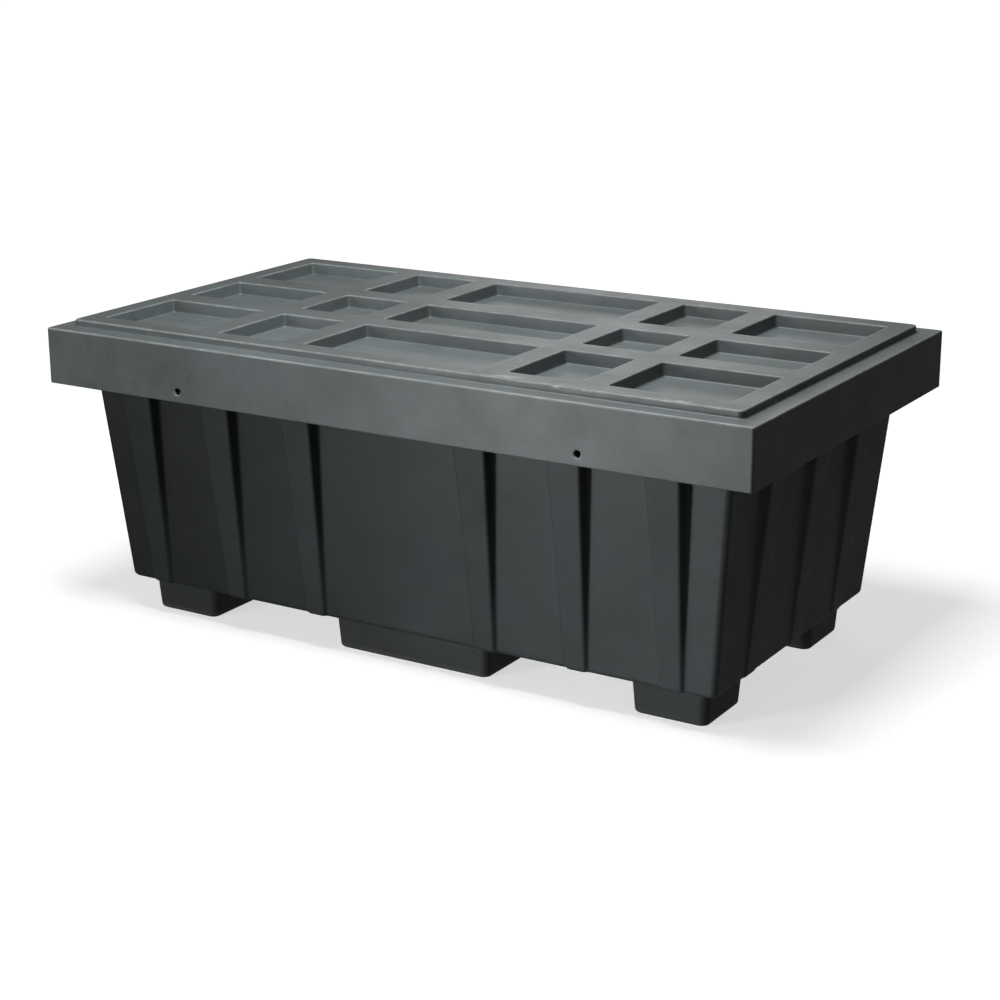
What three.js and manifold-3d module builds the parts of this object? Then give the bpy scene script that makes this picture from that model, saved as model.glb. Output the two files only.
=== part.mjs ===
// Spill containment pallet: a deep polyethylene sump on six feet, closed by a lift-off lid.
// Millimetres, +Z up. X runs along the length. The origin is the centre of the footprint, on the ground.
import * as THREE from 'three';
import { mergeVertices } from 'three/addons/utils/BufferGeometryUtils.js';
import Module from 'manifold-3d';

const wasm = await Module();
wasm.setup();

// Overall sizes
const LENGTH = 1300;
const WIDTH = 730;
const FOOT_HEIGHT = 62;
const SUMP_DEPTH = 353; // sump underside to the lower edge of the lid's skirt
const SKIRT_HEIGHT = 95;
const PLATE_RISE = 12; // raised centre of the deck, above the ledge around it
const WALL = 6; // wall of every moulding
const GAP = 0.3; // clearance between pieces that touch

// Sump walls: half sizes of the underside, and how far the walls lean out by the skirt's lower edge
const SUMP_BASE = { x: 563, y: 283 };
const WALL_LEAN = { x: 31, y: 28 };
const SUMP_CORNER = 10;
const SUMP_EDGE = 8;

// Buttress ribs: hollow, wide and proud under the rim, narrow and shallow at the underside
const RIB_PITCH = 164;
const RIB_HALF_WIDTH = 16.5;
const RIB_WIDENING = 12; // each side, from the underside to the skirt's lower edge
const RIB_FLANK = 3; // how far each flank spreads where it meets the wall
const SIDE_RIB = { face: 288, lean: 44, places: [-3, -2, -1, 1, 2, 3] };
const END_RIB = { face: 565, lean: 41, places: [-1, 0, 1] };

// Rim of the sump: a collar around the lid's underside, a flange and a turned-down lip
const COLLAR = { x: 626, y: 346, corner: 20, height: 58 };
const SKIRT_CLEARANCE = 2; // between the lip and the skirt
const LIP_SHORTFALL = 5; // the lip ends this far above the skirt's lower edge

// Lid
const LEDGE = 32;
const LID_CORNER = 4;
const LID_EDGE = 3;
const PLATE_CORNER = 9;
const PLATE_EDGE = 3;
const POCKET_DEPTH = 21.5;
const POCKET_CORNER = 6;
const POCKET_DRAFT = 2;
const POCKET_COLUMNS = [
  { centre: -482, half: 99 },
  { centre: -275, half: 62.5 },
  { centre: 0, half: 167 },
  { centre: 275, half: 62.5 },
  { centre: 482, half: 99 },
];
const POCKET_ROWS = [
  { centre: -206, half: 87 },
  { centre: 0, half: 68.5 },
  { centre: 206, half: 87 },
];
const LID_CORE = { x: 606, y: 322, corner: 14, wall: 5 }; // wall around the hollow core
const PANEL_THICKNESS = 5;
const KISS_OFF = { top: 22, foot: 34, spacing: 110 }; // cones that prop the pocket floors

// Fixing holes through the long sides of skirt and lip
const HOLE_X = 372;
const HOLE_ABOVE_SKIRT = 18;
const SKIRT_HOLE_RADIUS = 5.5;
const LIP_HOLE_RADIUS = 4.5;

// Feet
const FOOT_ROW = { near: 129, far: 251 }; // distance of a foot's sides from the centre line
const CORNER_FOOT = { near: 408, far: 534 };
const CENTRE_FOOT_HALF = 146;
const FOOT_CORNER = 14;
const FOOT_EDGE = 6;
const FOOT_SPREAD = 4; // wider at the top than on the ground, each side
const FOOT_WALL = 8;

// Heights worked out from the sizes above
const Z_SUMP = FOOT_HEIGHT;
const Z_SKIRT = Z_SUMP + SUMP_DEPTH;
const Z_LEDGE = Z_SKIRT + SKIRT_HEIGHT;
const Z_TOP = Z_LEDGE + PLATE_RISE;
const Z_RIM = Z_LEDGE - WALL - GAP;
const Z_COLLAR = Z_RIM - COLLAR.height;
const Z_POCKET = Z_TOP - POCKET_DEPTH;
const Z_PANEL = Z_COLLAR + WALL + 6;

const FAR = 2000; // larger than the whole object
const ARC_STEPS = 4; // facets of a rounded corner
const SMALL_ARC_STEPS = 2;
const EDGE_STEPS = 2; // facets of a rounded edge
const HOLE_SIDES = 20;
const CONE_SIDES = 10;

function solidOf(geometry) {
  geometry.deleteAttribute('normal');
  geometry.deleteAttribute('uv');
  const merged = mergeVertices(geometry, 1e-4);
  return new wasm.Manifold(new wasm.Mesh({
    numProp: 3,
    vertProperties: new Float32Array(merged.attributes.position.array),
    triVerts: new Uint32Array(merged.index.array),
  }));
}

function geometryOf(solid) {
  const mesh = solid.getMesh();
  const geometry = new THREE.BufferGeometry();
  geometry.setAttribute('position', new THREE.BufferAttribute(new Float32Array(mesh.vertProperties), 3));
  geometry.setIndex(new THREE.BufferAttribute(new Uint32Array(mesh.triVerts), 1));
  geometry.computeVertexNormals();
  return geometry;
}

function union(solids) {
  return solids.reduce((total, solid) => total.add(solid));
}

function box(x0, x1, y0, y1, z0, z1) {
  const geometry = new THREE.BoxGeometry(x1 - x0, y1 - y0, z1 - z0);
  geometry.translate((x0 + x1) / 2, (y0 + y1) / 2, (z0 + z1) / 2);
  return solidOf(geometry);
}

function slab(z0, z1) {
  return box(-FAR, FAR, -FAR, FAR, z0, z1);
}

function roundedRectangle(halfX, halfY, radius) {
  const shape = new THREE.Shape();
  shape.absarc(halfX - radius, halfY - radius, radius, 0, Math.PI / 2);
  shape.absarc(radius - halfX, halfY - radius, radius, Math.PI / 2, Math.PI);
  shape.absarc(radius - halfX, radius - halfY, radius, Math.PI, 1.5 * Math.PI);
  shape.absarc(halfX - radius, radius - halfY, radius, 1.5 * Math.PI, 2 * Math.PI);
  return shape;
}

// A block on a rounded rectangle, from z0 to z1, with both end edges rounded by edge.
// Its sides lean out by leanX and leanY for each millimetre above z0.
function block({
  x, y, corner, z0, z1, leanX = 0, leanY = 0, edge = 0, at = [0, 0], arcSteps = ARC_STEPS,
}) {
  const geometry = new THREE.ExtrudeGeometry(roundedRectangle(x, y, corner), {
    depth: z1 - z0 - 2 * edge,
    curveSegments: arcSteps,
    bevelEnabled: edge > 0,
    bevelThickness: edge,
    bevelSize: edge,
    bevelOffset: -edge,
    bevelSegments: EDGE_STEPS,
  });
  geometry.translate(0, 0, z0 + edge);
  const position = geometry.attributes.position;
  for (let i = 0; i < position.count; i += 1) {
    const rise = position.getZ(i) - z0;
    position.setX(i, position.getX(i) + Math.sign(position.getX(i)) * leanX * rise);
    position.setY(i, position.getY(i) + Math.sign(position.getY(i)) * leanY * rise);
  }
  geometry.translate(at[0], at[1], 0);
  return solidOf(geometry);
}

// One buttress standing on the wall that faces +Y, widening and leaning out as it rises.
// Its outline runs back to root, inside the wall.
function rib({ halfWidth, face, root, lean, z0, z1 }) {
  const outline = new THREE.Shape([
    new THREE.Vector2(-halfWidth, face),
    new THREE.Vector2(-halfWidth - RIB_FLANK, root),
    new THREE.Vector2(halfWidth + RIB_FLANK, root),
    new THREE.Vector2(halfWidth, face),
  ]);
  const geometry = new THREE.ExtrudeGeometry(outline, { depth: z1 - z0, bevelEnabled: false });
  geometry.translate(0, 0, z0);
  const position = geometry.attributes.position;
  for (let i = 0; i < position.count; i += 1) {
    const rise = (position.getZ(i) - Z_SUMP) / SUMP_DEPTH;
    const atFace = position.getY(i) > (root + face) / 2;
    position.setX(i, position.getX(i) + Math.sign(position.getX(i)) * RIB_WIDENING * rise);
    position.setY(i, position.getY(i) + (atFace ? lean * rise : 0));
  }
  return geometry;
}

// All ribs of the sump, thinned by inset: 0 gives the outside, WALL the channels behind it
function ribs(inset, z0, z1) {
  const solids = [];
  const walls = [
    { ...SIDE_RIB, root: SUMP_BASE.y, turns: [0, Math.PI] },
    { ...END_RIB, root: SUMP_BASE.x, turns: [Math.PI / 2, -Math.PI / 2] },
  ];
  for (const wall of walls) {
    for (const turn of wall.turns) {
      for (const place of wall.places) {
        const geometry = rib({
          halfWidth: RIB_HALF_WIDTH - inset,
          face: wall.face - inset,
          root: wall.root - 4 * WALL,
          lean: wall.lean,
          z0,
          z1,
        });
        geometry.translate(place * RIB_PITCH, 0, 0);
        geometry.rotateZ(turn);
        solids.push(solidOf(geometry));
      }
    }
  }
  return union(solids);
}

// Drills through the skirt and the lip inside it, stopping short of the collar and of the tub's walls
function fixingHoles(radius) {
  const start = COLLAR.y + 1;
  const end = WIDTH / 2 + WALL;
  const drills = [];
  for (const x of [-HOLE_X, HOLE_X]) {
    for (const side of [-1, 1]) {
      const geometry = new THREE.CylinderGeometry(radius, radius, end - start, HOLE_SIDES);
      geometry.translate(x, side * (start + end) / 2, Z_SKIRT + HOLE_ABOVE_SKIRT);
      drills.push(solidOf(geometry));
    }
  }
  return union(drills);
}

function sumpTub() {
  const lean = { leanX: WALL_LEAN.x / SUMP_DEPTH, leanY: WALL_LEAN.y / SUMP_DEPTH };
  const lip = { x: LENGTH / 2 - WALL - SKIRT_CLEARANCE, y: WIDTH / 2 - WALL - SKIRT_CLEARANCE };
  const zLip = Z_SKIRT + LIP_SHORTFALL;
  const walls = block({
    ...SUMP_BASE, ...lean, corner: SUMP_CORNER, edge: SUMP_EDGE, z0: Z_SUMP, z1: Z_COLLAR + WALL + SUMP_EDGE,
  });
  const hollow = block({
    x: SUMP_BASE.x - WALL, y: SUMP_BASE.y - WALL, ...lean,
    corner: SUMP_CORNER - WALL, edge: SUMP_EDGE - WALL, z0: Z_SUMP + WALL, z1: Z_COLLAR + 4 * WALL,
  });
  const collar = block({ ...COLLAR, z0: Z_COLLAR, z1: Z_RIM });
  const mouth = block({
    x: COLLAR.x - WALL, y: COLLAR.y - WALL, corner: COLLAR.corner - WALL, z0: Z_COLLAR + WALL, z1: Z_RIM + WALL,
  });
  const brim = block({ ...lip, corner: LID_CORNER, z0: zLip, z1: Z_RIM });
  const underBrim = block({
    x: lip.x - WALL, y: lip.y - WALL, corner: 2, z0: zLip - WALL, z1: Z_RIM - WALL,
  });
  return brim.subtract(underBrim)
    .add(walls.intersect(slab(0, Z_COLLAR + WALL)))
    .add(ribs(0, Z_SUMP, Z_COLLAR + WALL / 2))
    .add(collar)
    .subtract(hollow)
    .subtract(ribs(WALL, Z_SUMP + 2 * WALL, Z_COLLAR + 4 * WALL).intersect(slab(0, Z_COLLAR + 2 * WALL)))
    .subtract(mouth)
    .subtract(fixingHoles(LIP_HOLE_RADIUS));
}

function foot(halfX, x, y) {
  const halfY = (FOOT_ROW.far - FOOT_ROW.near) / 2;
  const spread = FOOT_SPREAD / FOOT_HEIGHT;
  const size = { corner: FOOT_CORNER, leanX: spread, leanY: spread, at: [x, y] };
  const outside = block({ ...size, x: halfX, y: halfY, edge: FOOT_EDGE, z0: 0, z1: FOOT_HEIGHT + FOOT_EDGE });
  const inside = block({
    ...size, x: halfX - FOOT_WALL, y: halfY - FOOT_WALL, corner: FOOT_CORNER - FOOT_WALL / 2,
    z0: FOOT_WALL, z1: FOOT_HEIGHT + FOOT_WALL,
  });
  return outside.subtract(inside).intersect(slab(0, FOOT_HEIGHT - GAP));
}

function pockets({ inset, z0, z1 }) {
  const solids = [];
  for (const column of POCKET_COLUMNS) {
    for (const row of POCKET_ROWS) {
      solids.push(block({
        x: column.half - POCKET_DRAFT - inset,
        y: row.half - POCKET_DRAFT - inset,
        corner: POCKET_CORNER - inset / 2,
        leanX: POCKET_DRAFT / POCKET_DEPTH,
        leanY: POCKET_DRAFT / POCKET_DEPTH,
        at: [column.centre, row.centre],
        arcSteps: SMALL_ARC_STEPS,
        z0,
        z1,
      }));
    }
  }
  return union(solids);
}

function lidDeck() {
  const skirt = block({
    x: LENGTH / 2, y: WIDTH / 2, corner: LID_CORNER, edge: LID_EDGE, z0: Z_SKIRT - LID_EDGE, z1: Z_LEDGE,
  }).intersect(slab(Z_SKIRT, Z_TOP));
  const skirtInside = block({
    x: LENGTH / 2 - WALL, y: WIDTH / 2 - WALL, corner: 3, z0: Z_SKIRT - WALL, z1: Z_LEDGE - WALL,
  });
  const plate = { x: LENGTH / 2 - LEDGE, y: WIDTH / 2 - LEDGE };
  const raised = block({
    ...plate, corner: PLATE_CORNER, edge: PLATE_EDGE, z0: Z_LEDGE - 2 * PLATE_EDGE, z1: Z_TOP,
  });
  const raisedInside = block({
    x: plate.x - WALL, y: plate.y - WALL, corner: PLATE_CORNER - WALL, z0: Z_LEDGE - 2 * WALL, z1: Z_TOP - WALL,
  });
  const coreOutside = block({ ...LID_CORE, z0: Z_PANEL + PANEL_THICKNESS + GAP, z1: Z_TOP - WALL / 2 });
  const coreInside = block({
    x: LID_CORE.x - LID_CORE.wall, y: LID_CORE.y - LID_CORE.wall, corner: LID_CORE.corner - LID_CORE.wall,
    z0: Z_PANEL, z1: Z_TOP - WALL,
  });
  return skirt.subtract(skirtInside)
    .add(raised)
    .subtract(raisedInside)
    .add(coreOutside.subtract(coreInside))
    .add(pockets({ inset: -WALL, z0: Z_POCKET - WALL, z1: Z_TOP - WALL / 2 }))
    .subtract(pockets({ inset: 0, z0: Z_POCKET, z1: Z_TOP + WALL }))
    .subtract(fixingHoles(SKIRT_HOLE_RADIUS));
}

// Centres of the cones under the pocket floors: one under a short pocket, three under a long one
function kissOffs() {
  const places = [];
  for (const column of POCKET_COLUMNS) {
    const count = column.half > KISS_OFF.spacing ? 3 : 1;
    for (const row of POCKET_ROWS) {
      for (let i = 0; i < count; i += 1) {
        places.push([column.centre + (i - (count - 1) / 2) * KISS_OFF.spacing, row.centre]);
      }
    }
  }
  return places;
}

function cone(radiusTop, radiusFoot, z0, z1, [x, y]) {
  const geometry = new THREE.CylinderGeometry(radiusTop, radiusFoot, z1 - z0, CONE_SIDES);
  geometry.rotateX(Math.PI / 2);
  geometry.translate(x, y, (z0 + z1) / 2);
  return solidOf(geometry);
}

function lidBottomPanel() {
  const zTop = Z_POCKET - WALL - GAP;
  const sheet = block({ ...LID_CORE, z0: Z_PANEL, z1: Z_PANEL + PANEL_THICKNESS });
  const wall = PANEL_THICKNESS;
  const cones = kissOffs().map((place) => cone(KISS_OFF.top, KISS_OFF.foot, Z_PANEL, zTop, place));
  const dimples = kissOffs().map((place) => (
    cone(KISS_OFF.top - wall, KISS_OFF.foot - wall, Z_PANEL - wall, zTop - wall, place)
  ));
  return sheet.add(union(cones)).subtract(union(dimples));
}

function plastic(color, roughness) {
  return new THREE.MeshStandardMaterial({ color, roughness, metalness: 0 });
}

const sumpPlastic = plastic(0x353a3b, 0.6);
const footPlastic = plastic(0x2f3334, 0.65);
const deckPlastic = plastic(0x4c5354, 0.55);
const panelPlastic = plastic(0x3c4142, 0.6);

const pallet = new THREE.Group();

function place(name, solid, material) {
  const mesh = new THREE.Mesh(geometryOf(solid), material);
  mesh.name = name;
  pallet.add(mesh);
}

place('sump_tub', sumpTub(), sumpPlastic);

const cornerHalf = (CORNER_FOOT.far - CORNER_FOOT.near) / 2;
const cornerX = (CORNER_FOOT.far + CORNER_FOOT.near) / 2;
const rowY = (FOOT_ROW.far + FOOT_ROW.near) / 2;
for (const [side, y] of [['front', -rowY], ['back', rowY]]) {
  place(`${side}_left_foot`, foot(cornerHalf, -cornerX, y), footPlastic);
  place(`${side}_centre_foot`, foot(CENTRE_FOOT_HALF, 0, y), footPlastic);
  place(`${side}_right_foot`, foot(cornerHalf, cornerX, y), footPlastic);
}

place('lid_deck', lidDeck(), deckPlastic);
place('lid_bottom_panel', lidBottomPanel(), panelPlastic);

export default pallet;
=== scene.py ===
"""Looks of the spill containment pallet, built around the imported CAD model."""
import math

import bmesh
import bpy
import numpy as np
from mathutils import Matrix, Vector


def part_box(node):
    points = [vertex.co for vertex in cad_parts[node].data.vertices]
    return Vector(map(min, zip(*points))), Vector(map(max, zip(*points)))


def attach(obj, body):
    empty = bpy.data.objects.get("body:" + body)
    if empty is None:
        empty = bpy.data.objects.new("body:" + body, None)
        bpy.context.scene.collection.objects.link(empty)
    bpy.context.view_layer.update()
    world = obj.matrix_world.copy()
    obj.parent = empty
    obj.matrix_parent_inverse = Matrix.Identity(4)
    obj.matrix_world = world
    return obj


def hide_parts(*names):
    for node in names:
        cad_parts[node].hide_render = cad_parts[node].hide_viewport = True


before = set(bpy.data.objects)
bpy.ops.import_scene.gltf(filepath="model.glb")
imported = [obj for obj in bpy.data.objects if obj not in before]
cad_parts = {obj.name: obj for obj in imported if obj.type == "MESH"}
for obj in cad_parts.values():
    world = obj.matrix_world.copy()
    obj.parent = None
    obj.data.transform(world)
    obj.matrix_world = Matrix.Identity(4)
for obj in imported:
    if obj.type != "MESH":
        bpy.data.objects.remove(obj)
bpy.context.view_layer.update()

MM = 0.001

# ---------------------------------------------------------------- sizes, in millimetres
tub_low, tub_high = (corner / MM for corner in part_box("sump_tub"))
deck_low, deck_high = (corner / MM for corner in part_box("lid_deck"))
panel_low, panel_high = (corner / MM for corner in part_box("lid_bottom_panel"))

WALL = 6.0
Z_SUMP = tub_low.z
Z_RIM = tub_high.z
Z_SKIRT = deck_low.z
Z_TOP = deck_high.z
PLATE_RISE = 12.0
Z_LEDGE = Z_TOP - PLATE_RISE
SUMP_DEPTH = Z_SKIRT - Z_SUMP

SUMP_BASE = (563.0, 283.0)
WALL_SPREAD = (31.0, 28.0)
WALL_LEAN = tuple(spread / SUMP_DEPTH for spread in WALL_SPREAD)
WALL_DISH = 2.5
DISH_HALF_LENGTH = 125.0
SUMP_CORNER = 10.0
SUMP_EDGE = 8.0
SUMP_FLOOR_EDGE = 8.0
RIB_PITCH = 164.0
RIB_HALF_WIDTH = 16.5
RIB_WIDENING = 12.0 / SUMP_DEPTH
RIB_FLANK = 4.0
RIB_EASING = 4.0
WIDE_BAY = 200.0
SIDE_RIBS = {"places": (-3, -2, -1, 1, 2, 3), "face": 288.0, "lean": 44.0 / SUMP_DEPTH}
END_RIBS = {"places": (-1, 0, 1), "face": 565.0, "lean": 41.0 / SUMP_DEPTH}
COLLAR = (626.0, 346.0)
COLLAR_CORNER = 20.0
COLLAR_HEIGHT = 58.0
LIP_SHORTFALL = 5.0
LIP_EDGE = 2.5
RIM_EDGE = 4.0
FOOT_SPREAD = 4.0
FOOT_EDGE = 6.0
FOOT_CORNER = 14.0

LEDGE = 32.0
LID_CORNER = 4.0
SKIRT_EDGE = 2.4
HEM_EDGE = 1.4
PLATE_CORNER = 9.0
PLATE_EDGE = 2.2
PLATE_FOOT = 2.0
POCKET_DEPTH = 21.5
POCKET_DRAFT = 2.0
POCKET_CORNER = 6.0
POCKET_EDGE = 1.8
POCKET_FILLET = 1.6
POCKET_COLUMNS = ((-482.0, 99.0), (-275.0, 62.5), (0.0, 167.0), (275.0, 62.5), (482.0, 99.0))
POCKET_ROWS = ((-206.0, 87.0), (0.0, 68.5), (206.0, 87.0))
CORE = (606.0, 322.0)
CORE_CORNER = 14.0
CORE_STEP = 5.0
SHEET = 5.0
KISS_SPACING = 110.0

HOLE_X = 372.0
HOLE_Z = Z_SKIRT + 18.0
SKIRT_HOLE_RADIUS = 5.5
LIP_HOLE_RADIUS = 4.5
BURR_AND_HIGHLIGHT_REACH = (0.0088, 0.0072)


# ---------------------------------------------------------------- mesh tools
def rounded(points, cut, steps, between):
    """An open line of points with each inner corner eased over the length cut.

    between[i] is the number of extra points on the straight stretch before corner i, so that
    the count never depends on the shape.
    """
    points = [np.array(point, float) for point in points]
    made = [points[0]]
    last = points[0]
    for i in range(1, len(points) - 1):
        before, here, after = points[i - 1], points[i], points[i + 1]
        to_before, to_after = before - here, after - here
        reach = min(cut, 0.45 * np.linalg.norm(to_before), 0.45 * np.linalg.norm(to_after))
        start = here + to_before / np.linalg.norm(to_before) * reach
        end = here + to_after / np.linalg.norm(to_after) * reach
        for k in range(1, between[i] + 1):
            made.append(last + (start - last) * k / (between[i] + 1))
        for k in range(steps + 1):
            t = k / steps
            made.append((1 - t) ** 2 * start + 2 * t * (1 - t) * here + t ** 2 * end)
        last = end
    for k in range(1, between[-1] + 1):
        made.append(last + (points[-1] - last) * k / (between[-1] + 1))
    made.append(points[-1])
    return made


def side(half, depth, corner, ribs, dish):
    """One side of a ribbed outline as (along, outward) points, left to right seen from outside."""
    points = [(-(half - corner), depth)]
    between = [0]
    for centre, half_width, face, flank in ribs:
        bay = centre - half_width - flank - points[-1][0]
        between += [20 if abs(bay) > WIDE_BAY else 8, 1, 4, 1]
        points += [
            (centre - half_width - flank, depth),
            (centre - half_width, face),
            (centre + half_width, face),
            (centre + half_width + flank, depth),
        ]
    points.append((half - corner, depth))
    between.append(5)
    made = np.array(rounded(points, RIB_EASING, 3, between))
    if dish:
        near = np.clip(1 - (made[:, 0] / DISH_HALF_LENGTH) ** 2, 0, 1)
        made[:, 1] -= dish * near * (made[:, 1] < depth + 0.5)
    return made


def tub_outline(half_x, half_y, corner, rise=0.0, thin=0.0, ribbed=True, dish=0.0):
    """The tub's plan outline, anticlockwise, always with the same number of points.

    rise is the height above the underside, thin draws the ribs in with the wall, and dish bows
    the widest bay inward.
    """
    half_width = RIB_HALF_WIDTH + RIB_WIDENING * rise - 0.8 * thin
    outline = []
    sides = ((half_x, half_y, SIDE_RIBS), (half_y, half_x, END_RIBS)) * 2
    for turn, (along, out, plan) in enumerate(sides):
        face = plan["face"] + plan["lean"] * rise - thin if ribbed else out
        ribs = [(place * RIB_PITCH, half_width, face, RIB_FLANK) for place in plan["places"]]
        points = side(along, out, corner, ribs, dish if plan is SIDE_RIBS else 0.0)
        points = np.column_stack((points[:, 0], -points[:, 1]))
        sweep = np.linspace(-math.pi / 2, 0, 9)[1:-1]
        bend = np.column_stack((
            along - corner + corner * np.cos(sweep),
            -(out - corner) + corner * np.sin(sweep),
        ))
        angle = turn * math.pi / 2
        cos, sin = math.cos(angle), math.sin(angle)
        outline.append(np.vstack((points, bend)) @ np.array(((cos, sin), (-sin, cos))))
    return np.vstack(outline)


def rounded_rectangle(half_x, half_y, corner, arc_steps=8, along=12, across=8):
    """A rounded rectangle, anticlockwise, with evenly spread points on its straight sides."""
    corners = (
        (1, -1, -0.5, across, (half_x, half_y - corner)),
        (1, 1, 0.0, along, (-(half_x - corner), half_y)),
        (-1, 1, 0.5, across, (-half_x, -(half_y - corner))),
        (-1, -1, 1.0, along, (half_x - corner, -half_y)),
    )
    outline = []
    for x, y, start, count, following in corners:
        centre = np.array((x * (half_x - corner), y * (half_y - corner)))
        for k in range(arc_steps + 1):
            a = math.pi * (start + 0.5 * k / arc_steps)
            outline.append(centre + corner * np.array((math.cos(a), math.sin(a))))
        begin = outline[-1]
        for k in range(1, count):
            outline.append(begin + (np.array(following) - begin) * k / count)
    return np.array(outline)


class Shell:
    """A closed mesh made of rings of points, flat fills and caps, with a value on each point for edge
    wear and painted edge highlight.
    """

    def __init__(self):
        self.bm = bmesh.new()
        self.wear_and_highlight = self.bm.verts.layers.float.new("wear_and_highlight")

    def ring(self, outline, z, wear_and_highlight=0.0):
        heights = np.broadcast_to(np.asarray(z, float), (len(outline),))
        verts = []
        for (x, y), h in zip(outline, heights):
            vert = self.bm.verts.new((x * MM, y * MM, h * MM))
            vert[self.wear_and_highlight] = wear_and_highlight
            verts.append(vert)
        return verts

    def skin(self, rings, inward=False):
        for lower, upper in zip(rings, rings[1:]):
            for i in range(len(lower)):
                j = (i + 1) % len(lower)
                quad = (lower[i], lower[j], upper[j], upper[i])
                self.bm.faces.new(quad[::-1] if inward else quad)

    def cap(self, ring, up):
        self.bm.faces.new(ring if up else ring[::-1])

    def fill(self, loops, up):
        edges = []
        for loop in loops:
            for i, vert in enumerate(loop):
                pair = (vert, loop[(i + 1) % len(loop)])
                edges.append(self.bm.edges.get(pair) or self.bm.edges.new(pair))
        normal = (0, 0, 1 if up else -1)
        made = bmesh.ops.triangle_fill(self.bm, use_beauty=True, edges=edges, normal=normal)
        for face in made["geom"]:
            if isinstance(face, bmesh.types.BMFace):
                face.normal_update()
                if (face.normal.z > 0) != up:
                    face.normal_flip()

    def object(self, name):
        for face in self.bm.faces:
            face.smooth = True
        mesh = bpy.data.meshes.new(name)
        self.bm.to_mesh(mesh)
        self.bm.free()
        made = bpy.data.objects.new(name, mesh)
        bpy.context.collection.objects.link(made)
        return made


def arc(steps, radius):
    """(inward, upward) offsets of a rounded edge from its flat end to its upright end."""
    turns = [math.pi / 2 * k / steps for k in range(steps + 1)]
    return [(radius * (1 - math.sin(t)), radius * (1 - math.cos(t))) for t in turns]


def drilled(made, drills):
    """made with the drills cut out of it."""
    for drill in drills:
        cut = made.modifiers.new("hole", "BOOLEAN")
        cut.operation = "DIFFERENCE"
        cut.solver = "EXACT"
        cut.object = drill
        bpy.context.view_layer.update()
        depsgraph = bpy.context.evaluated_depsgraph_get()
        mesh = bpy.data.meshes.new_from_object(made.evaluated_get(depsgraph))
        made.modifiers.clear()
        made.data = mesh
        bpy.data.objects.remove(drill)
    return made


def drill(x, inner, outer, radius, flare):
    """A drill along Y at the fixing holes' height, flared by a chamfer at its outer end."""
    shell = Shell()
    out = math.copysign(1.0, outer)
    stations = (
        # the chamfer gets full edge wear, which also paints a highlight round the hole
        (inner, radius, 0.0),
        (outer - out * flare, radius, 1.0),
        (outer, radius + flare, 1.0),
        (outer + out * 6, radius + flare, 1.0),
    )
    sides = 28
    rings = []
    for y, reach, wear_and_highlight in stations:
        verts = []
        for k in range(sides):
            a = 2 * math.pi * k / sides
            place = (x + reach * math.cos(a), y, HOLE_Z + reach * math.sin(a))
            vert = shell.bm.verts.new([value * MM for value in place])
            vert[shell.wear_and_highlight] = wear_and_highlight
            verts.append(vert)
        rings.append(verts)
    shell.skin(rings)
    shell.cap(rings[0], False)
    shell.cap(rings[-1], True)
    bmesh.ops.recalc_face_normals(shell.bm, faces=shell.bm.faces[:])
    return shell.object("drill")


def finished(made, body, node, material):
    """made with smooth shading and its material, hung under its body's empty, with the CAD node it
    stands for hidden.
    """
    weighted = made.modifiers.new("weighted", "WEIGHTED_NORMAL")
    weighted.weight = 60
    weighted.keep_sharp = True
    made.data.materials.clear()
    made.data.materials.append(material)
    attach(made, body)
    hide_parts(node)
    return made


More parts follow.
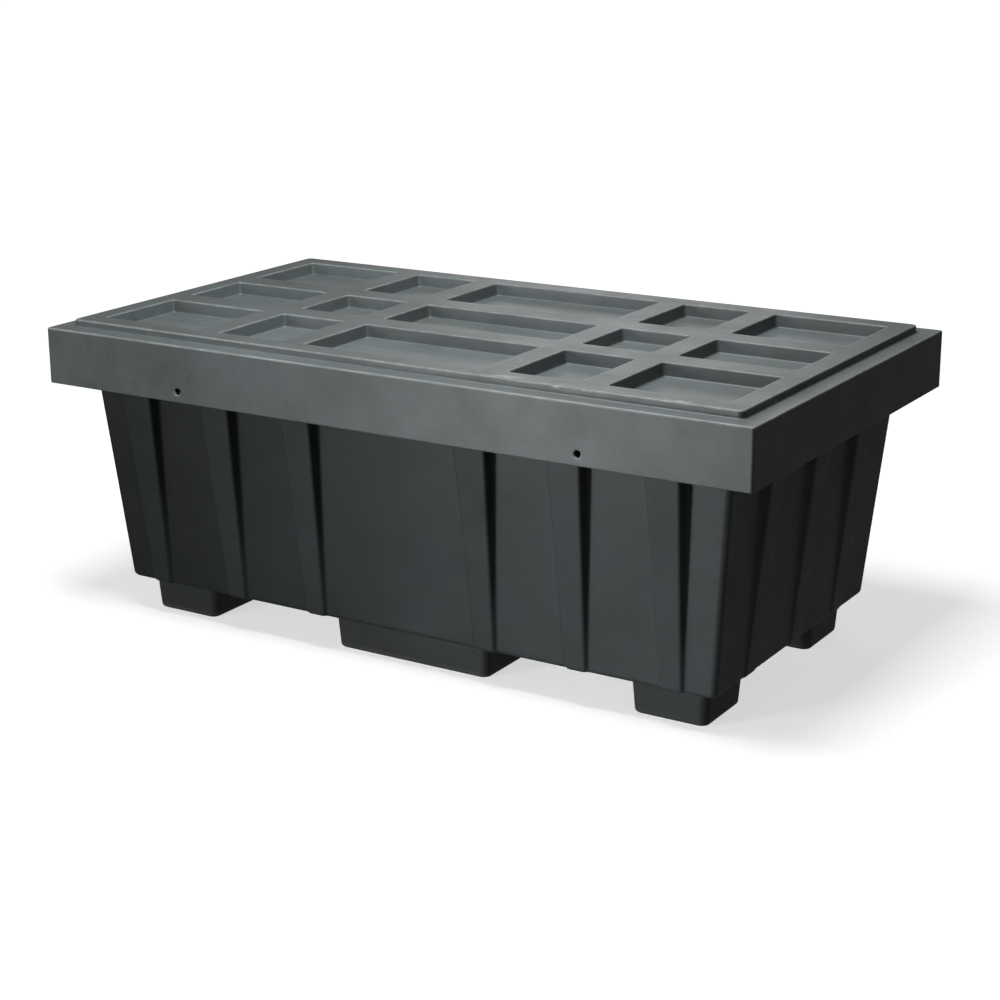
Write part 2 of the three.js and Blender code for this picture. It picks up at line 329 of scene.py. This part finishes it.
# ---------------------------------------------------------------- sump
def build_tub(material):
    shell = Shell()
    rings = []

    def wall(rise, inset, corner, wear_and_highlight=0.0, dish=0.0):
        half_x, half_y = (base + lean * rise - inset for base, lean in zip(SUMP_BASE, WALL_LEAN))
        outline = tub_outline(half_x, half_y, corner, rise, inset, dish=dish)
        rings.append(shell.ring(outline, Z_SUMP + rise, wear_and_highlight))

    def dished(z):
        height = max(0.0, min(1.0, (z - Z_SUMP) / SUMP_DEPTH))
        return WALL_DISH * math.sin(math.pi * height)

    def plain(half_x, half_y, corner, z, wear_and_highlight=0.0):
        rings.append(shell.ring(tub_outline(half_x, half_y, corner, ribbed=False), z, wear_and_highlight))

    # outside, from the underside up to the rim
    flat = (SUMP_BASE[0] - 70, SUMP_BASE[1] - 70)
    plain(*flat, SUMP_CORNER, Z_SUMP)
    for inset, up in arc(6, SUMP_EDGE):
        wall(up, inset, SUMP_CORNER, 0.15)
    z_collar = Z_RIM - COLLAR_HEIGHT
    for z in np.linspace(Z_SUMP + SUMP_EDGE + 4, z_collar, 22):
        wall(z - Z_SUMP, 0.0, SUMP_CORNER, dish=dished(z))
    plain(COLLAR[0] - 3, COLLAR[1] - 3, COLLAR_CORNER, z_collar)
    for inset, up in arc(3, 3.0):
        plain(COLLAR[0] - inset, COLLAR[1] - inset, COLLAR_CORNER, z_collar + up)
    z_lip = Z_SKIRT + LIP_SHORTFALL
    lip = (tub_high.x, tub_high.y)
    for z in (z_collar + 20, Z_RIM - WALL - 2, Z_RIM - WALL):
        plain(*COLLAR, COLLAR_CORNER, z)
    plain(lip[0] - WALL, lip[1] - WALL, 4.0, Z_RIM - WALL)
    plain(lip[0] - WALL, lip[1] - WALL, 4.0, z_lip + 12)
    for inset, up in arc(3, LIP_EDGE)[::-1]:
        plain(lip[0] - WALL + inset, lip[1] - WALL + inset, 4.0, z_lip + up)
    for inset, up in arc(3, LIP_EDGE):
        plain(lip[0] - inset, lip[1] - inset, LID_CORNER, z_lip + up)
    for z in (z_lip + 30, z_lip + 60):
        plain(*lip, LID_CORNER, z)
    for inset, down in arc(4, RIM_EDGE)[::-1]:
        plain(lip[0] - inset, lip[1] - inset, LID_CORNER, Z_RIM - down, 0.6)

    # inside, from the rim down to the floor
    mouth = (COLLAR[0] - WALL, COLLAR[1] - WALL)
    for inset, down in arc(3, LIP_EDGE):
        plain(mouth[0] + inset, mouth[1] + inset, COLLAR_CORNER - WALL, Z_RIM - down, 0.6)
    z_step = z_collar + WALL
    for z in (Z_RIM - 20, z_step + 4, z_step + 1):
        plain(*mouth, COLLAR_CORNER - WALL, z)
    plain(mouth[0] - 1.5, mouth[1] - 1.5, COLLAR_CORNER - WALL, z_step)
    for z in np.linspace(z_step, Z_SUMP + WALL + 12, 20):
        wall(z - Z_SUMP, WALL, SUMP_CORNER - WALL, dish=dished(z))
    for inset, up in arc(4, SUMP_FLOOR_EDGE)[::-1]:
        wall(WALL + up, WALL + inset, SUMP_CORNER - WALL)
    plain(*flat, SUMP_CORNER, Z_SUMP + WALL)

    shell.skin(rings)
    shell.cap(rings[0], False)
    shell.cap(rings[-1], True)
    tub = shell.object("sump_shell")
    holes = [
        drill(x, front * (COLLAR[1] + 2), front * (tub_high.y + 1), LIP_HOLE_RADIUS, 0.6)
        for x in (-HOLE_X, HOLE_X)
        for front in (-1, 1)
    ]
    return finished(drilled(tub, holes), "sump", "sump_tub", material)


def build_foot(node, material):
    low, high = (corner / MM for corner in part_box(node))
    centre = (low + high) / 2
    half = (high - low) / 2
    shell = Shell()
    rings = []

    def plain(inset, z, wear_and_highlight=0.0):
        at = (z - low.z) / (high.z - low.z)
        grow = FOOT_SPREAD * (1 - at)
        corner = max(FOOT_CORNER - 0.5 * inset, 3)
        outline = rounded_rectangle(half.x - grow - inset, half.y - grow - inset, corner)
        rings.append(shell.ring(outline + np.array((centre.x, centre.y)), z, wear_and_highlight))

    # a shallow recess under the foot, then its rounded lower edge and its sides
    plain(20, 3.0)
    plain(15.5, 3.0)
    plain(14, 2.4)
    plain(12.5, 0.5)
    plain(11, 0.0)
    for inset, up in arc(5, FOOT_EDGE):
        plain(inset, up, 0.8)
    for z in np.linspace(12, high.z - 3, 6):
        plain(0, z)
    for inset, down in arc(3, 1.5)[::-1]:
        plain(inset, high.z - down)
    shell.skin(rings)
    shell.cap(rings[0], False)
    shell.cap(rings[-1], True)
    made = shell.object(node.replace("_foot", "_foot_block"))
    return finished(made, "sump", node, material)


# ---------------------------------------------------------------- lid
def lid_sweep(shell):
    """The lid's outside, from its core out under the ledge, round the skirt and up to the plate.

    Returns the ring round the plate's top.
    """
    rings = []

    def plain(half_x, half_y, corner, z, wear_and_highlight=0.0):
        outline = rounded_rectangle(half_x, half_y, corner, 10, 60, 34)
        rings.append(shell.ring(outline, z, wear_and_highlight))

    z_under = Z_LEDGE - WALL
    skirt = (deck_high.x, deck_high.y)
    plate = (skirt[0] - LEDGE, skirt[1] - LEDGE)
    z_core = Z_RIM - COLLAR_HEIGHT + 2 * WALL + 5.3
    recess = (CORE[0] - CORE_STEP, CORE[1] - CORE_STEP, CORE_CORNER - CORE_STEP)
    plain(*recess, Z_TOP - POCKET_DEPTH - WALL)
    plain(*recess, z_core)
    plain(CORE[0], CORE[1], CORE_CORNER, z_core)
    plain(CORE[0], CORE[1], CORE_CORNER, z_under)
    plain(skirt[0] - WALL - 3, skirt[1] - WALL - 3, 5.0, z_under)
    plain(skirt[0] - WALL, skirt[1] - WALL, 4.0, z_under - 3)
    plain(skirt[0] - WALL, skirt[1] - WALL, 4.0, Z_SKIRT + 8)
    for inset, up in arc(3, HEM_EDGE)[::-1]:
        plain(skirt[0] - WALL + inset, skirt[1] - WALL + inset, 4.0, Z_SKIRT + up, 0.4)
    for inset, up in arc(3, HEM_EDGE):
        plain(skirt[0] - inset, skirt[1] - inset, LID_CORNER, Z_SKIRT + up, 0.4)
    for z in (*np.linspace(Z_SKIRT + 3, Z_LEDGE - 9, 7), Z_LEDGE - 3.5):
        plain(*skirt, LID_CORNER, z)
    for inset, down in arc(5, SKIRT_EDGE)[::-1]:
        plain(skirt[0] - inset, skirt[1] - inset, LID_CORNER, Z_LEDGE - down, 1.0)
    plain(skirt[0] - 3.8, skirt[1] - 3.8, LID_CORNER, Z_LEDGE)
    for t in np.linspace(0, 1, 5):
        a = t * math.pi / 2
        out = PLATE_FOOT * (1 - math.sin(a))
        up = PLATE_FOOT * (1 - math.cos(a))
        plain(plate[0] + out, plate[1] + out, PLATE_CORNER + out, Z_LEDGE + up)
    plain(*plate, PLATE_CORNER, Z_TOP - 3.3)
    for inset, down in arc(5, PLATE_EDGE)[::-1]:
        plain(plate[0] - inset, plate[1] - inset, PLATE_CORNER, Z_TOP - down, 1.0)
    plain(plate[0] - 4.5, plate[1] - 4.5, PLATE_CORNER - 2, Z_TOP)
    shell.skin(rings)
    shell.cap(rings[0], False)
    return rings[-1]


def pocket(shell, centre, half):
    """One pocket, from its rounded mouth down its wall to its floor. Returns the mouth's ring."""
    rings = []
    along = max(6, int(half[0] / 10))
    across = max(6, int(half[1] / 10))

    def plain(grow, z, corner, wear_and_highlight=0.0):
        outline = rounded_rectangle(half[0] + grow, half[1] + grow, corner, 6, along, across)
        rings.append(shell.ring(outline + np.array(centre), z, wear_and_highlight))

    z_floor = Z_TOP - POCKET_DEPTH
    plain(4.0, Z_TOP, 9.0)
    for inset, down in arc(4, POCKET_EDGE):
        plain(inset, Z_TOP - down, POCKET_CORNER + inset, 1.0)
    plain(-0.1, Z_TOP - 2.8, 5.9)
    plain(-1.5, z_floor + 5, 5.2)
    for k in range(5):
        a = math.pi / 2 * k / 4
        inset = POCKET_DRAFT + POCKET_FILLET * (1 - math.cos(a)) - 0.1
        plain(-inset, z_floor + POCKET_FILLET * (1 - math.sin(a)), 5.0)
    for step in (0.3, 0.6):
        plain(-6 - step * (min(half) - 12), z_floor - 0.5 * step, 5.0)
    shell.skin(rings, inward=True)
    shell.cap(rings[-1], True)
    return rings[0]


def build_deck(material):
    shell = Shell()
    rim = lid_sweep(shell)
    loops = [rim]
    for x, half_x in POCKET_COLUMNS:
        for y, half_y in POCKET_ROWS:
            loops.append(pocket(shell, (x, y), (half_x, half_y)))
    shell.fill(loops, True)
    bmesh.ops.recalc_face_normals(shell.bm, faces=shell.bm.faces[:])
    deck = shell.object("lid_shell")
    holes = [
        drill(x, front * (deck_high.y - 14), front * deck_high.y, SKIRT_HOLE_RADIUS, 2.4)
        for x in (-HOLE_X, HOLE_X)
        for front in (-1, 1)
    ]
    return finished(drilled(deck, holes), "lid", "lid_deck", material)


def build_panel(material):
    shell = Shell()
    z_low = panel_low.z
    z_sheet = z_low + SHEET
    edge = (
        (1.5, z_low), (0.4, z_low + 0.4), (0.0, z_low + 1.5),
        (0.0, z_sheet - 1.5), (0.4, z_sheet - 0.4), (1.5, z_sheet),
    )
    rings = []
    for inset, z in edge:
        outline = rounded_rectangle(CORE[0] - inset, CORE[1] - inset, CORE_CORNER, 6, 40, 24)
        rings.append(shell.ring(outline, z))
    shell.skin(rings)
    lower, upper = [rings[0]], [rings[-1]]
    # (radius, height) down the hollow and up the outside of each cone
    hollow = (
        (32, z_low), (30, z_low + 0.8), (28.5, z_low + 3),
        (18, panel_high.z - 8), (15, panel_high.z - 5.5),
    )
    cone = (
        (37, z_sheet), (34.5, z_sheet + 1), (33.5, z_sheet + 3),
        (23, panel_high.z - 2), (20, panel_high.z),
    )
    turns = np.linspace(0, 2 * math.pi, 25)[:-1]
    circle = np.column_stack((np.cos(turns), np.sin(turns)))
    for x, half_x in POCKET_COLUMNS:
        count = 3 if half_x > KISS_SPACING else 1
        for y, _ in POCKET_ROWS:
            for k in range(count):
                at = np.array((x + (k - (count - 1) / 2) * KISS_SPACING, y))
                inner = [shell.ring(circle * r + at, z) for r, z in hollow]
                outer = [shell.ring(circle * r + at, z) for r, z in cone]
                shell.skin(inner)
                shell.cap(inner[-1], True)
                shell.skin(outer)
                shell.cap(outer[-1], True)
                lower.append(inner[0])
                upper.append(outer[0])
    shell.fill(lower, False)
    shell.fill(upper, True)
    bmesh.ops.recalc_face_normals(shell.bm, faces=shell.bm.faces[:])
    return finished(shell.object("lid_underside"), "lid", "lid_bottom_panel", material)


# ---------------------------------------------------------------- materials
class Nodes:
    """A short way to write a material's node tree."""

    def __init__(self, name):
        self.material = bpy.data.materials.new(name)
        self.material.use_nodes = True
        self.tree = self.material.node_tree
        self.shader = self.tree.nodes["Principled BSDF"]
        self.place = self.add("ShaderNodeTexCoord").outputs["Object"]

    def add(self, kind, **values):
        node = self.tree.nodes.new(kind)
        for key, value in values.items():
            setattr(node, key, value)
        return node

    def link(self, source, target):
        self.tree.links.new(source, target)
        return target

    def noise(self, scale, detail=3.0, rough=0.5, stretch=(1, 1, 1)):
        mapping = self.add("ShaderNodeMapping")
        mapping.inputs["Scale"].default_value = stretch
        self.link(self.place, mapping.inputs["Vector"])
        node = self.add("ShaderNodeTexNoise")
        node.inputs["Scale"].default_value = scale
        node.inputs["Detail"].default_value = detail
        node.inputs["Roughness"].default_value = rough
        self.link(mapping.outputs["Vector"], node.inputs["Vector"])
        return node.outputs["Fac"]

    def ramp(self, source, low, high, out_low=0.0, out_high=1.0):
        node = self.add("ShaderNodeMapRange")
        limits = {"From Min": low, "From Max": high, "To Min": out_low, "To Max": out_high}
        for key, value in limits.items():
            node.inputs[key].default_value = value
        self.link(source, node.inputs["Value"])
        return node.outputs["Result"]

    def math(self, operation, a, b):
        node = self.add("ShaderNodeMath", operation=operation)
        for source, target in ((a, node.inputs[0]), (b, node.inputs[1])):
            if isinstance(source, (int, float)):
                target.default_value = source
            else:
                self.link(source, target)
        return node.outputs["Value"]

    def mix(self, factor, a, b):
        node = self.add("ShaderNodeMix", data_type="RGBA")
        self.link(factor, node.inputs["Factor"])
        for source, target in ((a, node.inputs[6]), (b, node.inputs[7])):
            if isinstance(source, tuple):
                target.default_value = (*source, 1.0)
            else:
                self.link(source, target)
        return node.outputs[2]

    def wear_and_highlight(self):
        node = self.add("ShaderNodeAttribute", attribute_name="wear_and_highlight")
        return node.outputs["Fac"]

    def place_axes(self):
        node = self.add("ShaderNodeSeparateXYZ")
        self.link(self.place, node.inputs[0])
        return node.outputs

    def painted_light_scaled(self, colour, factor):
        """colour made lighter or darker by factor, which paints light and shade."""
        node = self.add("ShaderNodeHueSaturation")
        self.link(factor, node.inputs["Value"])
        self.link(colour, node.inputs["Color"])
        return node.outputs["Color"]

    def bump(self, height, distance, strength=1.0, after=None):
        node = self.add("ShaderNodeBump")
        node.inputs["Strength"].default_value = strength
        node.inputs["Distance"].default_value = distance
        self.link(height, node.inputs["Height"])
        if after is not None:
            self.link(after, node.inputs["Normal"])
        return node.outputs["Normal"]


def moulded(name, dark, light, scuff_and_highlight, wear_and_highlight_amount, roughness, grain=0.3):
    """Moulded polyethylene: mottled, with a fine peel and lighter edges that are partly rubbed wear
    and partly a painted highlight.

    Returns its nodes, its colour and its bumps.
    """
    n = Nodes(name)
    cloud = n.ramp(n.noise(5.0, 5.0, 0.6), 0.32, 0.68)
    speck = n.ramp(n.noise(70.0, 4.0, 0.7), 0.3, 0.7)
    tone = n.math("ADD", n.math("MULTIPLY", cloud, 1 - grain), n.math("MULTIPLY", speck, grain))
    colour = n.mix(tone, dark, light)
    tint = n.ramp(n.noise(11.0, 2.0, 0.5, (1.0, 1.0, 1.4)), 0.4, 0.6, 0.0, 0.5)
    cool = tuple(value * shift for value, shift in zip(light, (0.93, 0.96, 1.14)))
    colour = n.mix(n.math("MULTIPLY", tint, tone), colour, cool)
    # lighter rounded edges: rubbed wear with a painted highlight laid along them
    lightened = n.math("MULTIPLY", n.wear_and_highlight(), n.ramp(n.noise(26.0, 6.0, 0.7), 0.35, 0.7, 0.25, 1.0))
    colour = n.mix(n.math("MULTIPLY", lightened, wear_and_highlight_amount), colour, scuff_and_highlight)
    shine = n.ramp(n.noise(14.0, 5.0, 0.6), 0.25, 0.75, roughness - 0.06, roughness + 0.07)
    n.link(shine, n.shader.inputs["Roughness"])
    peel = n.bump(n.noise(380.0, 3.0, 0.55), 0.0005, 0.35)
    waves = n.bump(n.noise(7.0, 2.0, 0.4), 0.003, 0.2, peel)
    n.link(waves, n.shader.inputs["Normal"])
    return n, colour, waves


def finish_material(n, colour, specular):
    n.link(colour, n.shader.inputs["Base Color"])
    n.shader.inputs["Specular IOR Level"].default_value = specular
    return n.material


def deck_material():
    """The lid's plastic, with lines drawn along it on upward faces, scuffs on the plate's edge and
    painted light along its length and height.
    """
    n, colour, bumps = moulded(
        "deck_plastic", (0.034, 0.041, 0.042), (0.064, 0.074, 0.074), (0.20, 0.22, 0.215), 0.5, 0.5,
    )
    normal = n.add("ShaderNodeSeparateXYZ")
    n.link(n.add("ShaderNodeNewGeometry").outputs["True Normal"], normal.inputs[0])
    upward = n.ramp(normal.outputs["Z"], 0.7, 0.95)
    drawn = n.ramp(n.noise(6.0, 6.0, 0.75, (0.5, 26, 1)), 0.38, 0.66)
    drawn = n.math("MULTIPLY", drawn, upward)
    colour = n.mix(n.math("MULTIPLY", drawn, 0.32), colour, (0.105, 0.118, 0.110))
    # painted light: the sides lighter at the left end and darker at the right, the pocket floors
    # lighter and the top strips darker
    place = n.place_axes()
    sides = n.ramp(place["X"], -0.6, 0.6, 1.5, 0.82)
    painted_light_by_height = n.ramp(place["Z"], 0.505, 0.518, 1.12, 0.86)
    change = n.math("MULTIPLY", upward, n.math("SUBTRACT", painted_light_by_height, sides))
    colour = n.painted_light_scaled(colour, n.math("ADD", sides, change))

    # white scuffs along the plate's front right edge
    front = n.ramp(place["Y"], -0.312, -0.330)
    front = n.math("MULTIPLY", front, n.ramp(place["Z"], 0.516, 0.519))
    right = n.ramp(place["X"], 0.0, 0.35)
    marks = n.ramp(n.noise(11.0, 7.0, 0.75, (1.0, 5.0, 1.0)), 0.52, 0.60)
    marks = n.math("MULTIPLY", marks, n.math("MULTIPLY", front, right))
    colour = n.mix(n.math("MULTIPLY", marks, 0.75), colour, (0.34, 0.38, 0.37))

    # a lighter ring round each fixing hole: rubbed wear with a painted highlight
    across = n.math("SUBTRACT", n.math("ABSOLUTE", place["X"], 0.0), HOLE_X * MM)
    upright = n.math("SUBTRACT", place["Z"], HOLE_Z * MM)
    reach = n.math("ADD", n.math("MULTIPLY", across, across), n.math("MULTIPLY", upright, upright))
    burr_and_highlight = n.ramp(n.math("SQRT", reach, 0.0), *BURR_AND_HIGHLIGHT_REACH, 0.0, 0.7)
    burr_and_highlight = n.math("MULTIPLY", burr_and_highlight, n.ramp(n.noise(60.0, 3.0, 0.6), 0.3, 0.6, 0.4, 1.0))
    colour = n.mix(burr_and_highlight, colour, (0.16, 0.18, 0.18))

    lines = n.bump(n.noise(6.0, 5.0, 0.7, (0.5, 26, 1)), 0.0006, 0.2, bumps)
    n.link(lines, n.shader.inputs["Normal"])
    return finish_material(n, colour, 0.45)


def sump_material(name, dark, light, scuff_and_highlight, wear_and_highlight_amount, roughness, left, right):
    """The sump's plastic with painted light: darker at the left end and lighter at the right, and
    painted lighter rib faces near the left end.
    """
    n, colour, _ = moulded(name, dark, light, scuff_and_highlight, wear_and_highlight_amount, roughness, 0.2)
    place = n.place_axes()
    # painted light: darker at the left end, lighter at the right
    along = n.ramp(place["X"], -0.6, 0.5, left, right)
    # painted light on the rib faces near the left end
    spread = (SUMP_BASE[1] * MM, (SUMP_BASE[1] + WALL_SPREAD[1]) * MM)
    wall = n.ramp(place["Z"], Z_SUMP * MM, Z_SKIRT * MM, *spread)
    proud = n.math("SUBTRACT", n.math("ABSOLUTE", place["Y"], 0.0), wall)
    near_left = n.ramp(place["X"], -0.6, 0.4, 0.55, 0.0)
    lightened = n.math("MULTIPLY", n.ramp(proud, 0.002, 0.004), near_left)
    return finish_material(n, n.painted_light_scaled(colour, n.math("ADD", along, lightened)), 0.35)


# ---------------------------------------------------------------- camera, floor and light
def build_camera():
    azimuth, elevation, roll = (math.radians(a) for a in (32.2, 16.73, -0.43))
    target = Vector((-0.0254, 0.0, 0.209))
    distance = 3.603
    back = Vector((
        math.sin(azimuth) * math.cos(elevation),
        -math.cos(azimuth) * math.cos(elevation),
        math.sin(elevation),
    ))
    right = Vector((math.cos(azimuth), math.sin(azimuth), 0.0))
    up = back.cross(right)
    data = bpy.data.cameras.new("camera")
    data.lens = 75.9
    data.sensor_width = 36.0
    data.shift_x = 0.0214
    data.clip_end = 50.0
    camera = bpy.data.objects.new("camera", data)
    bpy.context.collection.objects.link(camera)
    axes = Matrix((
        math.cos(roll) * right + math.sin(roll) * up,
        math.cos(roll) * up - math.sin(roll) * right,
        back,
    ))
    place = Matrix.Translation(target + back * distance)
    camera.matrix_world = place @ axes.transposed().to_4x4()
    bpy.context.scene.camera = camera


def area_light(name, place, target, size, power, spread=180):
    data = bpy.data.lights.new(name, "AREA")
    data.shape = "RECTANGLE"
    data.size, data.size_y = size
    data.energy = power
    data.spread = math.radians(spread)
    light = bpy.data.objects.new(name, data)
    light.location = place
    light.visible_camera = False
    light.rotation_euler = (Vector(target) - Vector(place)).to_track_quat("-Z", "Y").to_euler()
    bpy.context.collection.objects.link(light)


def build_studio():
    bm = bmesh.new()
    bmesh.ops.create_grid(bm, x_segments=2, y_segments=2, size=20)
    mesh = bpy.data.meshes.new("floor")
    bm.to_mesh(mesh)
    bm.free()
    floor = bpy.data.objects.new("floor", mesh)
    bpy.context.collection.objects.link(floor)
    n = Nodes("floor")
    n.shader.inputs["Base Color"].default_value = (0.5, 0.5, 0.5, 1)
    n.shader.inputs["Roughness"].default_value = 0.9
    n.shader.inputs["Emission Color"].default_value = (1, 1, 1, 1)
    distance = n.add("ShaderNodeVectorMath", operation="LENGTH")
    n.link(n.place, distance.inputs[0])
    glow = n.ramp(distance.outputs["Value"], 0.8, 3.5, 0.62, 0.95)
    n.link(glow, n.shader.inputs["Emission Strength"])
    floor.visible_diffuse = False
    floor.visible_glossy = False
    mesh.materials.append(n.material)

    world = bpy.data.worlds.new("studio")
    world.use_nodes = True
    backdrop = world.node_tree.nodes["Background"]
    backdrop.inputs["Color"].default_value = (1.0, 1.0, 0.92, 1)
    backdrop.inputs["Strength"].default_value = 0.13
    bpy.context.scene.world = world
    area_light("low", (-0.8, -2.3, 0.26), (0.95, -0.3, 0.02), (0.4, 0.3), 4.4, 56)
    area_light("front", (-1.3, -2.8, 0.75), (0.0, 0, 0.35), (0.9, 0.7), 32)
    area_light("top", (0.1, -0.5, 2.1), (0.1, -0.05, 0.5), (1.1, 0.9), 72)
    area_light("back", (-1.2, 2.7, 1.4), (0.1, 0, 0.5), (1.2, 0.8), 8)
    bpy.context.scene.view_settings.view_transform = "Standard"


build_camera()
deck_plastic = deck_material()
# painted light: the sump and the lid's underside darker at the left end (0.62) and lighter at the
# right (1.62)
sump_plastic = sump_material(
    "sump_plastic", (0.0155, 0.019, 0.0195), (0.0235, 0.0285, 0.0295), (0.07, 0.078, 0.078),
    wear_and_highlight_amount=0.35, roughness=0.48, left=0.62, right=1.62,
)
# painted light: the feet lighter at the left end (1.75) and darker at the right (1.05)
foot_plastic = sump_material(
    "foot_plastic", (0.0165, 0.019, 0.019), (0.0235, 0.0275, 0.0275), (0.08, 0.088, 0.085),
    wear_and_highlight_amount=0.45, roughness=0.5, left=1.75, right=1.05,
)
build_tub(sump_plastic)
for foot in sorted(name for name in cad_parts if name.endswith("_foot")):
    build_foot(foot, foot_plastic)
build_deck(deck_plastic)
build_panel(sump_plastic)
build_studio()
